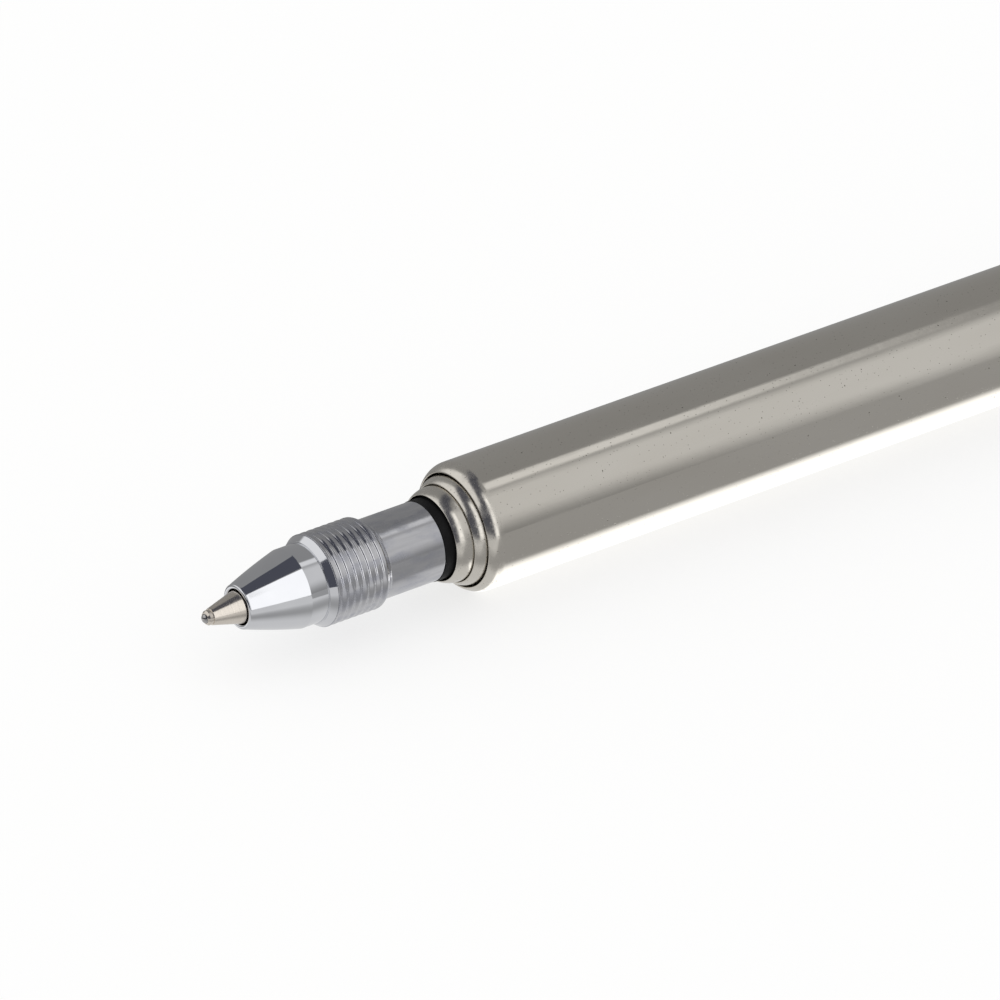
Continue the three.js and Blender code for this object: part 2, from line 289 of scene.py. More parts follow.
def to_object(mesh, name):
    shade(mesh)
    data = bpy.data.meshes.new(name)
    mesh.to_mesh(data)
    mesh.free()
    piece = put_in_scene(name, data)
    even = piece.modifiers.new("even_normals", "WEIGHTED_NORMAL")
    even.keep_sharp = True
    return piece


def turned(name, outline, sides=TURNED_SIDES, slot_degrees=0):
    """A piece turned round the pen's axis. An outline with no point on the axis closes on itself,
    as round a bore. A slot leaves a gap along the whole piece, at the top."""
    mesh = bmesh.new()
    slotted = slot_degrees > 0
    first = math.radians(slot_degrees / 2)
    sweep = 2 * math.pi - 2 * first
    angles = [first + sweep * i / sides for i in range(sides + slotted)]
    rings = []
    for station, radius in outline:
        if radius == 0:
            rings.append([mesh.verts.new((-station * MM, 0, 0))] * len(angles))
            continue
        rings.append([
            mesh.verts.new((-station * MM, radius * MM * math.sin(a), radius * MM * math.cos(a)))
            for a in angles
        ])
    if outline[0][1] > 0:
        rings.append(rings[0])
    for ring, following in zip(rings, rings[1:]):
        for i in range(sides):
            j = (i + 1) % len(angles)
            corners = dict.fromkeys((ring[i], following[i], following[j], ring[j]))
            mesh.faces.new(list(corners))
    if slotted:
        mesh.faces.new([ring[0] for ring in rings[:-1]])
        mesh.faces.new([ring[-1] for ring in rings[:-1]])
    return to_object(mesh, name)


def ring_outline(tail, front, bore, radius, rounding=EDGE):
    """A plain ring with a bore."""
    return rounded([
        (tail, bore, rounding),
        (tail, radius, rounding),
        (front, radius, rounding),
        (front, bore, rounding),
    ])


def rolled_lip(front, radius, bore, throat, length):
    """A tube's front end, rolled in to a throat that guides the next tube and stops its bead. The
    outside bends inwards on a wide arc, and a small one runs on from it, round the edge and into
    the throat. The wide arc's radius makes the two run into each other without a corner."""
    shoulder = front - LIP_EDGE - THROAT_LENGTH
    along = length - LIP_ROUNDING
    down = radius - throat - LIP_ROUNDING
    bend = (along ** 2 + down ** 2 - LIP_ROUNDING ** 2) / (2 * (down - LIP_ROUNDING))
    turn = math.degrees(math.atan2(bend - down, along))
    edge = (front - LIP_ROUNDING, throat + LIP_ROUNDING)
    return [
        *arc((front - length, radius - bend), bend, bend, 90, turn, LIP_STEP),
        *arc(edge, LIP_ROUNDING, LIP_ROUNDING, turn, -90)[1:],
        (shoulder, throat),
        (shoulder - (bore - throat), bore),
    ]


def beaded_tail(tube, bush, spring, bore, radius):
    """Corners of a sliding tube's tail. Its bead stops in the lip of the tube outside it."""
    tail = SPANS[tube].tail
    bead = SPANS[spring].front + SLIDING_GAP
    crest = SPANS[bush].radius
    return [
        (tail, bore, 0),
        (tail, radius, EDGE),
        (bead, radius, EDGE),
        (bead + BEAD_SLOPE, crest, EDGE),
        (bead + BEAD_LENGTH - BEAD_SLOPE, crest, EDGE),
        (bead + BEAD_LENGTH, radius, EDGE),
    ]


# Radii of the tubes, from the innermost outwards. A sliding tube's own box is as wide as its bead,
# so the middle and the outer tube's bores are worked out from the guide bushes that run in them.
inner_radius = SPANS["join_collar"].radius
inner_bore = inner_radius - INNER_TUBE_WALL
middle_bore = SPANS["inner_guide_bush"].radius + SLIDING_GAP
middle_radius = middle_bore + TUBE_WALL
outer_bore = SPANS["middle_guide_bush"].radius + SLIDING_GAP
outer_radius = outer_bore + TUBE_WALL
barrel_radius = SPANS["barrel"].radius
barrel_bore = barrel_radius - BARREL_WALL
sleeve_bore = SLEEVE_RADIUS - SLEEVE_WALL
refill_radius = SPANS["refill_tube"].radius


def plated_barrel():
    tail = SPANS["barrel"].tail
    front = SPANS["barrel"].front
    outline = rounded([
        (tail + BARREL_TAIL_LENGTH, barrel_bore, 0),
        (tail, barrel_bore, EDGE),
        (tail, barrel_radius, EDGE),
        (tail + BARREL_TAIL_LENGTH, barrel_radius, 0),
    ])
    throat = outer_radius + BARREL_THROAT_GAP
    outline += rolled_lip(front, barrel_radius, barrel_bore, throat, BARREL_LIP_LENGTH)
    return turned("plated_barrel", outline)


def drawn_tube(name, node, bush, spring, bore, radius, throat):
    front = SPANS[node].front
    outline = rounded([
        *beaded_tail(node, bush, spring, bore, radius),
        (front - TUBE_FRONT_LENGTH, radius, 0),
    ])
    outline += rolled_lip(front, radius, bore, throat, TUBE_LIP_LENGTH)
    return turned(name, outline)


def outer_drawn_tube():
    return drawn_tube(
        "outer_drawn_tube", "outer_tube", "outer_guide_bush", "outer_friction_spring",
        outer_bore, outer_radius, middle_radius + OUTER_THROAT_GAP,
    )


def middle_drawn_tube():
    return drawn_tube(
        "middle_drawn_tube", "middle_tube", "middle_guide_bush", "middle_friction_spring",
        middle_bore, middle_radius, inner_radius + MIDDLE_THROAT_GAP,
    )


def inner_drawn_tube():
    """The innermost tube has a plain front end, which the collar closes."""
    front = SPANS["inner_tube"].front
    outline = rounded([
        *beaded_tail(
            "inner_tube", "inner_guide_bush", "inner_friction_spring", inner_bore, inner_radius
        ),
        (front, inner_radius, EDGE),
        (front, inner_bore, 0),
    ])
    return turned("inner_drawn_tube", outline)


def turned_bush(node, bore):
    span = SPANS[node]
    outline = rounded([
        (span.tail, bore, EDGE / 2),
        (span.tail, span.radius - BUSH_CHAMFER, 0),
        (span.tail + BUSH_CHAMFER, span.radius, 0),
        (span.front, span.radius, EDGE / 2),
        (span.front, bore, EDGE / 2),
    ])
    return turned("turned_" + node, outline)


def split_spring(node):
    span = SPANS[node]
    outline = ring_outline(
        span.tail, span.front, span.radius - SPRING_THICKNESS, span.radius, SPRING_THICKNESS / 3
    )
    return turned("split_" + node, outline, slot_degrees=SPRING_SLOT_DEGREES)


def rounded_tail_cap():
    front = SPANS["tail_cap"].front
    centre = (CAP_ROUNDING, barrel_radius - CAP_ROUNDING)
    outline = [(0, 0), *arc(centre, CAP_ROUNDING, CAP_ROUNDING, 180, 90)]
    outline += rounded([
        (CAP_LENGTH / 2, barrel_radius, 0),
        (CAP_LENGTH, barrel_radius, CAP_EDGE),
        (CAP_LENGTH, STUD_RADIUS, 0),
        (front, STUD_RADIUS, EDGE),
        (front, 0, 0),
    ])
    return turned("rounded_tail_cap", outline)


def turned_end_plug():
    span = SPANS["end_plug"]
    return turned(
        "turned_end_plug",
        ring_outline(span.tail, span.front, STUD_RADIUS + SEAT_GAP, span.radius),
    )


def moulded_buffer():
    span = SPANS["buffer_pad"]
    return turned(
        "moulded_buffer", ring_outline(span.tail, span.front, BUFFER_HOLE_RADIUS, span.radius)
    )


def clip_middle():
    """The middle of the clip's sheet, seen from the side, as (station, height) points: a neck, a
    bend, a straight arm, a dip to the barrel and a flick upwards at the tip."""
    neck = CAP_LENGTH + CLIP_SHEET / 2
    arm = barrel_radius + CLIP_GAP + CLIP_SHEET / 2
    dip = barrel_radius + CLIP_TIP_GAP + CLIP_SHEET / 2
    bend = CLIP_BEND_RADIUS + CLIP_SHEET / 2
    tip = CAP_LENGTH + CLIP_REACH
    touch = tip - CLIP_FLICK_LENGTH
    dip_start = touch - CLIP_DIP_LENGTH
    points = [(neck, STUD_RADIUS + CLIP_SHEET), (neck, barrel_radius)]
    points += arc((neck + bend, arm - bend), bend, bend, 180, 90)
    arm_start = points[-1][0]
    for i in range(1, CLIP_ARM_STEPS):
        points.append((arm_start + (dip_start - arm_start) * i / CLIP_ARM_STEPS, arm))
    for i in range(CLIP_CURVE_STEPS + 1):
        t = i / CLIP_CURVE_STEPS
        middle = 3 * (1 - t) * t * (touch - CLIP_DIP_LENGTH / 2)
        station = (1 - t) ** 3 * dip_start + middle + t ** 3 * touch
        height = arm + (dip - arm) * (3 * t ** 2 - 2 * t ** 3)
        points.append((station, height))
    for i in range(1, CLIP_CURVE_STEPS + 1):
        t = i / CLIP_CURVE_STEPS
        points.append((touch + CLIP_FLICK_LENGTH * t, dip + CLIP_FLICK_RISE * t ** 2))
    return points


def clip_half_width(station):
    """Full width over the first stretch, then a taper to a round tip."""
    tip = CAP_LENGTH + CLIP_REACH + CLIP_SHEET / 2
    tip_radius = CLIP_TIP_WIDTH / 2
    taper_start = CAP_LENGTH + CLIP_STRAIGHT
    taper_end = tip - tip_radius
    if station <= taper_start:
        return CLIP_WIDTH / 2
    if station <= taper_end:
        share = (station - taper_start) / (taper_end - taper_start)
        return (CLIP_WIDTH + (CLIP_TIP_WIDTH - CLIP_WIDTH) * share) / 2
    return math.sqrt(max(tip_radius ** 2 - (station - taper_end) ** 2, CLIP_EDGE ** 2))


def clip_section(half_width):
    """A section of the sheet with rounded edges, as (across, through) points. The edges are rounded
    less where the sheet is very narrow, at the tip."""
    half = CLIP_SHEET / 2
    corner = min(CLIP_EDGE, half_width * CLIP_EDGE_SHARE)
    points = []
    for across, through, start in ((1, 1, 0), (-1, 1, 90), (-1, -1, 180), (1, -1, 270)):
        for step in range(CLIP_EDGE_STEPS + 1):
            angle = math.radians(start + 90 * step / CLIP_EDGE_STEPS)
            points.append((
                across * (half_width - corner) + corner * math.cos(angle),
                through * (half - corner) + corner * math.sin(angle),
            ))
    return points


def bent_clip():
    """The clip's arm is swept along the middle of its sheet and joined to the ring under the cap.
    It is made standing straight up, and then turned to where the clip's inner face looks."""
    path = [Vector(point) for point in clip_middle()]
    mesh = bmesh.new()
    loops = []
    for i, point in enumerate(path):
        before = path[max(i - 1, 0)]
        after = path[min(i + 1, len(path) - 1)]
        along = (after - before).normalized()
        out = Vector((-along.y, along.x))
        loops.append([
            mesh.verts.new((
                -(point.x + out.x * through) * MM,
                across * MM,
                (point.y + out.y * through) * MM,
            ))
            for across, through in clip_section(clip_half_width(point.x))
        ])
    for loop, following in zip(loops, loops[1:]):
        for i in range(len(loop)):
            j = (i + 1) % len(loop)
            mesh.faces.new((loop[i], following[i], following[j], loop[j]))
    mesh.faces.new(loops[0])
    mesh.faces.new(loops[-1])
    clip = to_object(mesh, "bent_clip")
    ring = turned("clip_ring", ring_outline(
        CAP_LENGTH + CLIP_RING_RELIEF,
        CAP_LENGTH + CLIP_SHEET - CLIP_RING_RELIEF,
        STUD_RADIUS + SEAT_GAP,
        barrel_radius - CLIP_RING_INSET,
    ))
    join(clip, ring)
    mounts = {mount["name"]: mount for mount in record["mounts"]}
    side = -Vector(mounts["clip_inner_face"]["axis"])
    clip.data.transform(Matrix.Rotation(math.atan2(-side.y, side.z), 4, "X"))
    return clip


def join(piece, other):
    """Joins another closed piece to a piece, as one closed mesh."""
    union = piece.modifiers.new("union", "BOOLEAN")
    union.operation = "UNION"
    union.solver = "EXACT"
    union.object = other
    piece.modifiers.move(len(piece.modifiers) - 1, 0)
    graph = bpy.context.evaluated_depsgraph_get()
    piece.modifiers["even_normals"].show_viewport = False
    graph.update()
    joined = bpy.data.meshes.new_from_object(piece.evaluated_get(graph))
    piece.modifiers.remove(union)
    piece.modifiers["even_normals"].show_viewport = True
    piece.data = joined
    bpy.data.objects.remove(other)


def moulded_collar():
    span = SPANS["join_collar"]
    bore = refill_radius + SEAT_GAP
    tube_front = SPANS["inner_tube"].front
    sleeve_tail = SPANS["grip_sleeve"].tail
    outline = rounded([
        (span.tail, bore, EDGE),
        (span.tail, inner_bore - SEAT_GAP, EDGE),
        (tube_front, inner_bore - SEAT_GAP, 0),
        (tube_front, span.radius, EDGE),
        (sleeve_tail, span.radius, EDGE),
        (sleeve_tail, sleeve_bore - SEAT_GAP, 0),
        (span.front, sleeve_bore - SEAT_GAP, EDGE),
        (span.front, bore, EDGE),
    ])
    return turned("moulded_collar", outline)


def turned_grip_sleeve():
    span = SPANS["grip_sleeve"]
    root = span.radius - RIDGE_DEPTH
    slope = (RIDGE_PITCH - RIDGE_CREST) / 2
    grip_tail = span.front - GRIP_LAND - RIDGE_COUNT * RIDGE_PITCH
    corners = [
        (span.tail, sleeve_bore, EDGE),
        (span.tail, SLEEVE_RADIUS, EDGE),
        (span.tail + SLEEVE_LENGTH, SLEEVE_RADIUS, SLEEVE_ROUNDING),
    ]
    for i in range(RIDGE_COUNT):
        tail = grip_tail + i * RIDGE_PITCH
        corners += [
            (tail, root, GROOVE_ROUNDING),
            (tail + slope, span.radius, RIDGE_ROUNDING),
            (tail + slope + RIDGE_CREST, span.radius, RIDGE_ROUNDING),
        ]
    last = span.front - GRIP_LAND
    corners += [
        (last, root, GROOVE_ROUNDING),
        (last + slope, span.radius, RIDGE_ROUNDING),
        (span.front, span.radius, EDGE / 2),
        (span.front, sleeve_bore, EDGE / 2),
    ]
    return turned("turned_grip_sleeve", rounded(corners))


def cone_outline(tail, front, tail_radius, front_radius, swell, steps):
    """A cone that swells a little in its middle, as a parabola between its ends."""
    middle = ((tail + front) / 2, (tail_radius + front_radius) / 2 + swell)
    points = []
    for i in range(steps + 1):
        t = i / steps
        points.append(tuple(
            (1 - t) ** 2 * a + 2 * (1 - t) * t * b + t ** 2 * c
            for a, b, c in zip((tail, tail_radius), middle, (front, front_radius))
        ))
    return points


def polished_nose():
    span = SPANS["nose_cone"]
    sleeve_front = SPANS["grip_sleeve"].front
    bevel_front = sleeve_front + NOSE_BEVEL_LENGTH
    band_front = bevel_front + NOSE_BAND_LENGTH
    cone_front = band_front + NOSE_CONE_LENGTH
    lip_half = (NOSE_MOUTH_RADIUS - NOSE_BORE_RADIUS) / 2
    spigot_radius = sleeve_bore - SEAT_GAP
    lip_centre = (cone_front, NOSE_BORE_RADIUS + lip_half)
    cone = cone_outline(
        band_front, cone_front, NOSE_BAND_RADIUS, NOSE_MOUTH_RADIUS,
        NOSE_CONE_SWELL, NOSE_CONE_STEPS,
    )
    outline = rounded([
        (sleeve_front, NOSE_BORE_RADIUS, 0),
        (span.tail, NOSE_BORE_RADIUS, EDGE),
        (span.tail, spigot_radius, EDGE),
        (sleeve_front, spigot_radius, 0),
        (sleeve_front, NOSE_BEVEL_RADIUS, NOSE_EDGE),
        (bevel_front, NOSE_SHOULDER_RADIUS, NOSE_EDGE),
        (bevel_front, NOSE_BAND_RADIUS, NOSE_EDGE),
        (band_front, NOSE_BAND_RADIUS, NOSE_KINK_ROUNDING),
        (*cone[1], 0),
    ])
    outline += cone[2:]
    outline += arc(lip_centre, NOSE_LIP_LENGTH, lip_half, 90, -90)[1:]
    return turned("polished_nose", outline)


def drawn_refill_tube():
    span = SPANS["refill_tube"]
    return turned(
        "drawn_refill_tube",
        ring_outline(span.tail, span.front, span.radius - REFILL_TUBE_WALL, span.radius, EDGE / 2),
        sides=SMALL_SIDES,
    )


def turned_refill_point():
    """The point's spigot, body, cone and land, with a thin lip closed in past the ball's middle."""
    tip = SPANS["writing_ball"].front
    ball_radius = SPANS["writing_ball"].radius
    ball_centre = tip - ball_radius
    cone_tail = SPANS["nose_cone"].front
    cone_front = cone_tail + POINT_CONE_LENGTH
    body_tail = cone_tail - POINT_BODY_LENGTH
    spigot_tail = SPANS["refill_point"].tail
    spigot_radius = refill_radius - REFILL_TUBE_WALL - SEAT_GAP
    lip = tip - BALL_STAND_OUT
    lip_bore = math.sqrt(ball_radius ** 2 - (lip - ball_centre) ** 2) + BALL_LIP_GAP
    socket = ball_radius + BALL_GAP
    socket_end = 180 - math.degrees(math.asin(INK_CHANNEL_RADIUS / socket))
    outline = rounded([
        (body_tail, INK_CHANNEL_RADIUS, 0),
        (spigot_tail, INK_CHANNEL_RADIUS, 0),
        (spigot_tail, spigot_radius, POINT_EDGE),
        (body_tail, spigot_radius, 0),
        (body_tail, POINT_BODY_RADIUS, POINT_EDGE),
        (cone_tail, POINT_BODY_RADIUS, POINT_EDGE),
        (cone_front, POINT_CONE_TIP_RADIUS, POINT_EDGE),
        (cone_front, POINT_LAND_RADIUS, 0),
        (cone_front + POINT_LAND_LENGTH, POINT_LAND_RADIUS, POINT_EDGE),
        (lip, lip_bore + POINT_LIP_WALL, POINT_LIP_WALL / 3),
        (lip, lip_bore, 0),
    ])
    outline += arc((ball_centre, 0), socket, socket, 90, socket_end)
    return turned("turned_refill_point", outline, sides=SMALL_SIDES)


def ground_ball():
    tip = SPANS["writing_ball"].front
    radius = SPANS["writing_ball"].radius
    half_circle = arc((tip - radius, 0), radius, radius, 180, 0)
    outline = [(tip - 2 * radius, 0), *half_circle[1:-1], (tip, 0)]
    return turned("ground_ball", outline, sides=SMALL_SIDES)


# Materials. Each function makes one, named for what the real one is.

# In millimetres: how far behind the barrel's lip the duller finish of the lips starts, and how far
# it takes to fade in
LIPS_MARGIN = 0.2
LIPS_FADE = 0.4
LIPS_TAIL = SPANS["barrel"].front - BARREL_LIP_LENGTH - LIPS_MARGIN

# The share of a speck's radius that is at full strength
SPECK_CORE = 0.4


def linear(colour):
    """An sRGB '#rrggbb' colour as linear red, green, blue and alpha."""
    channels = [int(colour[i:i + 2], 16) / 255 for i in (1, 3, 5)]
    return [c / 12.92 if c <= 0.04045 else ((c + 0.055) / 1.055) ** 2.4 for c in channels] + [1]


def add(tree, kind, inputs=None, **settings):
    """Adds a node with its settings. An input is a value, or the output of another node."""
    node = tree.nodes.new(kind)
    for name, value in settings.items():
        setattr(node, name, value)
    for name, value in (inputs or {}).items():
        if isinstance(value, bpy.types.NodeSocket):
            tree.links.new(value, node.inputs[name])
        else:
            node.inputs[name].default_value = value
    return node


def calculate(tree, operation, first, second):
    """What an operation makes of two inputs, each a value or the output of a node."""
    return add(tree, "ShaderNodeMath", {0: first, 1: second}, operation=operation).outputs[0]


def new_material(name):
    material = bpy.data.materials.new(name)
    material.use_nodes = True
    material.node_tree.nodes.clear()
    return material, material.node_tree


def surface(tree, **inputs):
    """The surface itself. An input's underscores stand for the spaces in its name."""
    named = {name.replace("_", " "): value for name, value in inputs.items()}
    shader = add(tree, "ShaderNodeBsdfPrincipled", named)
    add(tree, "ShaderNodeOutputMaterial", {"Surface": shader.outputs[0]})


def cells(tree, lengthwise, across):
    """Coordinates that count pattern cells. A cell's sizes, along and across the pen, are in
    millimetres."""
    place = add(tree, "ShaderNodeTexCoord")
    counts = (1 / (lengthwise * MM), 1 / (across * MM), 1 / (across * MM))
    return add(
        tree, "ShaderNodeVectorMath", {0: place.outputs["Object"], 1: counts}, operation="MULTIPLY"
    ).outputs[0]


def along_pen(tree):
    """The station, in millimetres."""
    place = add(tree, "ShaderNodeTexCoord")
    split = add(tree, "ShaderNodeSeparateXYZ", {0: place.outputs["Object"]})
    return calculate(tree, "MULTIPLY", split.outputs["X"], -1 / MM)


def mottle(tree, lengthwise, across, detail=2):
    """A cloudy pattern from 0 to 1."""
    where = cells(tree, lengthwise, across)
    return add(
        tree, "ShaderNodeTexNoise", {"Vector": where, "Scale": 1, "Detail": detail}
    ).outputs["Fac"]


def spread(tree, value, low, high, to_low=0, to_high=1):
    """A value between low and high, brought to another range and held there."""
    return add(
        tree,
        "ShaderNodeMapRange",
        {"Value": value, "From Min": low, "From Max": high, "To Min": to_low, "To Max": to_high},
        interpolation_type="SMOOTHSTEP",
    ).outputs[0]


def specks(tree, cell, radius):
    """Round specks of about a radius, 1 at their middle. One cell holds at most one of them."""
    where = cells(tree, cell, cell)
    distance = add(tree, "ShaderNodeTexVoronoi", {"Vector": where, "Scale": 1}).outputs["Distance"]
    return spread(tree, distance, SPECK_CORE * radius / cell, radius / cell, 1, 0)


def total(tree, *values):
    """The sum of values, each scaled by the number beside it."""
    result = None
    for value, scale in values:
        part = calculate(tree, "MULTIPLY", value, scale)
        result = part if result is None else calculate(tree, "ADD", result, part)
    return result


def relief(tree, *heights):
    """A bump from patterns, each with its height in micrometres."""
    height = total(tree, *[(pattern, micrometres * MM * MM) for pattern, micrometres in heights])
    return add(tree, "ShaderNodeBump", {"Height": height, "Distance": 1}).outputs["Normal"]


def blend(tree, factor, first, second):
    """A colour between two, each a colour or the output of a node."""
    return add(
        tree, "ShaderNodeMix", {"Factor": factor, 6: first, 7: second}, data_type="RGBA"
    ).outputs[2]


def bright_nickel_plate():
    """Bright nickel on drawn tube: warm, with faint lengthwise drawing lines, a slight orange peel
    and small dark pits where the plate has been worn through. The rolled lips are rubbed by the
    tubes that slide in them, so they are duller."""
    material, tree = new_material("bright_nickel_plate")
    clouds = mottle(tree, 9, 2.5)
    lines = mottle(tree, 30, 0.25)
    peel = mottle(tree, 0.9, 0.45)
    pits = total(tree, (specks(tree, 0.9, 0.065), 0.85), (specks(tree, 0.29, 0.038), 0.8))
    smears = spread(tree, mottle(tree, 7, 0.6, 4), 0.4, 0.7)
    lips = spread(tree, along_pen(tree), LIPS_TAIL, LIPS_TAIL + LIPS_FADE)
    metal = blend(tree, clouds, linear("#d2cdc4"), linear("#dad6ce"))
    surface(
        tree,
        Base_Color=blend(tree, pits, metal, linear("#5e574e")),
        Metallic=1.0,
        Roughness=total(tree, (lines, 0.1), (smears, 0.1), (pits, 0.3), (lips, 0.15)),
        Normal=relief(tree, (lines, 1.5), (peel, 2.4), (pits, -10)),
    )
    return material


def plated_spring_steel():
    """Spring steel sheet, polished along its length and then plated: cooler than the tubes."""
    material, tree = new_material("plated_spring_steel")
    lines = mottle(tree, 12, 0.12)
    clouds = mottle(tree, 6, 2)
    surface(
        tree,
        Base_Color=blend(tree, clouds, linear("#cfcfd1"), linear("#d9d9db")),
        Metallic=1.0,
        Roughness=total(tree, (lines, 0.22), (clouds, 0.1)),
        Normal=relief(tree, (lines, 0.8)),
    )
    return material


def satin_aluminium():
    """Aluminium turned on a lathe and left satin: fine rings round the pen, with handling marks
    along it and smudges from fingers. The rings are three times as coarse as on a real sleeve, so
    that they show."""
    material, tree = new_material("satin_aluminium")
    rings = mottle(tree, 0.12, 40, 3)
    rubs = mottle(tree, 3, 0.35)
    smudges = spread(tree, mottle(tree, 2.0, 0.9, 5), 0.42, 0.66)
    metal = blend(tree, rubs, linear("#bababd"), linear("#d2d2d5"))
    surface(
        tree,
        Base_Color=blend(tree, smudges, metal, linear("#b9bac1")),
        Metallic=1.0,
        Roughness=total(tree, (rings, 0.12), (rubs, 0.12), (smudges, 0.14)),
        Normal=relief(tree, (rings, 1.2), (rubs, 2.2), (smudges, 2.0)),
    )
    return material


def polished_chrome():
    """Hard chrome, polished to a mirror: cool, with hair-fine lengthwise handling marks."""
    material, tree = new_material("polished_chrome")
    marks = mottle(tree, 2.5, 0.18)
    clouds = mottle(tree, 1.5, 1.5)
    surface(
        tree,
        Base_Color=blend(tree, clouds, linear("#d4d5d9"), linear("#dddee1")),
        Metallic=1.0,
        Roughness=total(tree, (marks, 0.06), (clouds, 0.04)),
        Normal=relief(tree, (marks, 0.35), (clouds, 1.0)),
    )
    return material


def turned_nickel_silver():
    """Nickel silver, turned to a point: warm and bright, with fine rings from the tool."""
    material, tree = new_material("turned_nickel_silver")
    rings = mottle(tree, 0.09, 30)
    clouds = mottle(tree, 1, 0.5)
    surface(
        tree,
        Base_Color=blend(tree, clouds, linear("#d3cbc1"), linear("#dfd8ce")),
        Metallic=1.0,
        Roughness=total(tree, (rings, 0.34), (clouds, 0.1)),
        Normal=relief(tree, (rings, 0.35)),
    )
    return material


def turned_brass():
    """Free-cutting brass, turned: yellow, with tool rings and a dull film of handling."""
    material, tree = new_material("turned_brass")
    rings = mottle(tree, 0.15, 40)
    film = mottle(tree, 3, 1.5)
    surface(
        tree,
        Base_Color=blend(tree, film, linear("#c7a14e"), linear("#a9853c")),
        Metallic=1.0,
        Roughness=total(tree, (rings, 0.25), (film, 0.3)),
        Normal=relief(tree, (rings, 1.5)),
    )
    return material


def rolled_phosphor_bronze():
    """Phosphor bronze spring sheet: reddish, with rolling lines."""
    material, tree = new_material("rolled_phosphor_bronze")
    lines = mottle(tree, 5, 0.12)
    film = mottle(tree, 1.5, 1.5)
    surface(
        tree,
        Base_Color=blend(tree, film, linear("#c0865a"), linear("#a36d44")),
        Metallic=1.0,
        Roughness=total(tree, (lines, 0.3), (film, 0.25)),
        Normal=relief(tree, (lines, 1.2)),
    )
    return material


def moulded_acetal():
    """Black acetal, moulded: dense and even, with a fine matt grain."""
    material, tree = new_material("moulded_acetal")
    grain = mottle(tree, 0.14, 0.14)
    clouds = mottle(tree, 1.5, 1.5)
    surface(
        tree,
        Base_Color=blend(tree, clouds, linear("#0b0b0c"), linear("#111112")),
        Roughness=total(tree, (grain, 0.4), (clouds, 0.8)),
        Specular_IOR_Level=0.2,
        IOR=1.48,
        Normal=relief(tree, (grain, 2)),
    )
    return material


def black_rubber():
    """Black nitrile rubber: dull, with a powdery bloom."""
    material, tree = new_material("black_rubber")
    grain = mottle(tree, 0.2, 0.2)
    bloom = mottle(tree, 2, 2)
    surface(
        tree,
        Base_Color=blend(tree, bloom, linear("#161616"), linear("#242322")),
        Roughness=total(tree, (grain, 0.3), (bloom, 1.2)),
        IOR=1.52,
        Normal=relief(tree, (grain, 6)),
    )
    return material


def ground_carbide():
    """Tungsten carbide, ground: a dark grey mirror with a haze of grinding marks."""
    material, tree = new_material("ground_carbide")
    haze = mottle(tree, 0.06, 0.06)
    surface(
        tree,
        Base_Color=blend(tree, haze, linear("#a3a2a2"), linear("#b5b4b3")),
        Metallic=1.0,
        Roughness=total(tree, (haze, 0.25)),
        Normal=relief(tree, (haze, 0.6)),
    )
    return material


# The pieces. Each stands for one node, rides on that node's body and takes its material slot.

BODY_OF = {
    node: body for body, nodes in record["behaviour"]["bodies"].items() for node in nodes
}
SLOT_OF = {part["node"]: part["material_slot"] for part in record["subparts"]}
FINISHES = {
    "nickel_plate": bright_nickel_plate(),
    "spring_steel": plated_spring_steel(),
    "brass": turned_brass(),
    "phosphor_bronze": rolled_phosphor_bronze(),
    "black_rubber": black_rubber(),
    "black_acetal": moulded_acetal(),
    "satin_aluminium": satin_aluminium(),
    "polished_chrome": polished_chrome(),
    "nickel_silver": turned_nickel_silver(),
    "carbide": ground_carbide(),
}


def dress(piece, node):
    slot = SLOT_OF[node]
    piece.data.materials.clear()
    piece.data.materials.append(FINISHES[slot])
    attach(piece, BODY_OF[node])
    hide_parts(node)


def make_pen():
    dress(rounded_tail_cap(), "tail_cap")
    dress(bent_clip(), "pocket_clip")
    dress(turned_end_plug(), "end_plug")
    dress(moulded_buffer(), "buffer_pad")
    dress(plated_barrel(), "barrel")
    dress(outer_drawn_tube(), "outer_tube")
    dress(middle_drawn_tube(), "middle_tube")
    dress(inner_drawn_tube(), "inner_tube")
    radii = {"outer": outer_radius, "middle": middle_radius, "inner": inner_radius}
    for section, radius in radii.items():
        bush = section + "_guide_bush"
        spring = section + "_friction_spring"
        dress(turned_bush(bush, radius + SEAT_GAP), bush)
        dress(split_spring(spring), spring)
    dress(moulded_collar(), "join_collar")
    dress(turned_grip_sleeve(), "grip_sleeve")
    dress(polished_nose(), "nose_cone")
    dress(drawn_refill_tube(), "refill_tube")
    dress(turned_refill_point(), "refill_point")
    dress(ground_ball(), "writing_ball")


# The studio: a white floor and background, and panels and cards that only reflections see. A
# plated tube shows whatever stands round it, so these give it its light and dark bands. The panels
# lie on a tunnel over the pen. A place along it is in metres of X, and a place round it is in
# degrees from straight above towards the front, -Y. A strength of 1 is the background's white.

WHITE = "#ffffff"
FLOOR_RADIUS = 4
FLOOR_SIDES = 64
FLOOR_WHITE_SHARE = 0.7
TUNNEL_RADIUS = 0.5
TUNNEL_TAIL = 0.8
TUNNEL_POINT = -1.2
TUNNEL_FOOT = 95
PANEL_STEP = 2.5
LAYER_DEPTH = 0.01

# Where the black cloth hangs: (X, upper edge, lower edge), from the tail's end to the point's
BLACK_CLOTH = (
    (0.13, -38, -16),
    (-0.04, -30, -2),
    (-0.08, -26, 15),
    (-0.19, -23, 16),
    (-0.205, -22, 40),
    (-0.23, -21, 96),
    (-0.246, -19, 96),
    (-0.455, 23, 96),
    (-0.7, 32, 96),
    (TUNNEL_POINT, 40, 96),
)

